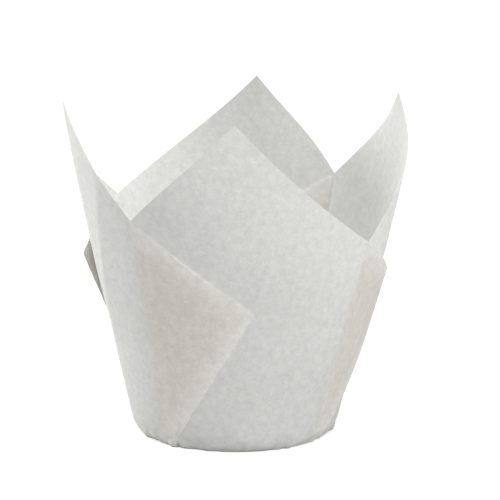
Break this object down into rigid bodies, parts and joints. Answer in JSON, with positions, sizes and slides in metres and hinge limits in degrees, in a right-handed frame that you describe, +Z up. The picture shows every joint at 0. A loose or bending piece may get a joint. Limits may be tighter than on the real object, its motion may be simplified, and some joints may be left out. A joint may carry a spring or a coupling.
{
  "type": "tulip baking cup",
  "caption": "Paper baking cup folded from a square sheet, with petal-like corners standing over a round flat base and knife pleats down its wall.",
  "frame": {"origin": "middle of the underside of the round floor", "axes": "+Z up, front petal towards -Y, petals also towards +X, +Y and -X"},
  "size_m": [0.0857, 0.0708, 0.0854],
  "materials": {
    "greaseproof_paper": "matt with a faint sheen"
  },
  "bodies": {
    "root": {"folded_sheet": "greaseproof_paper"}
  },
  "joints": []
}
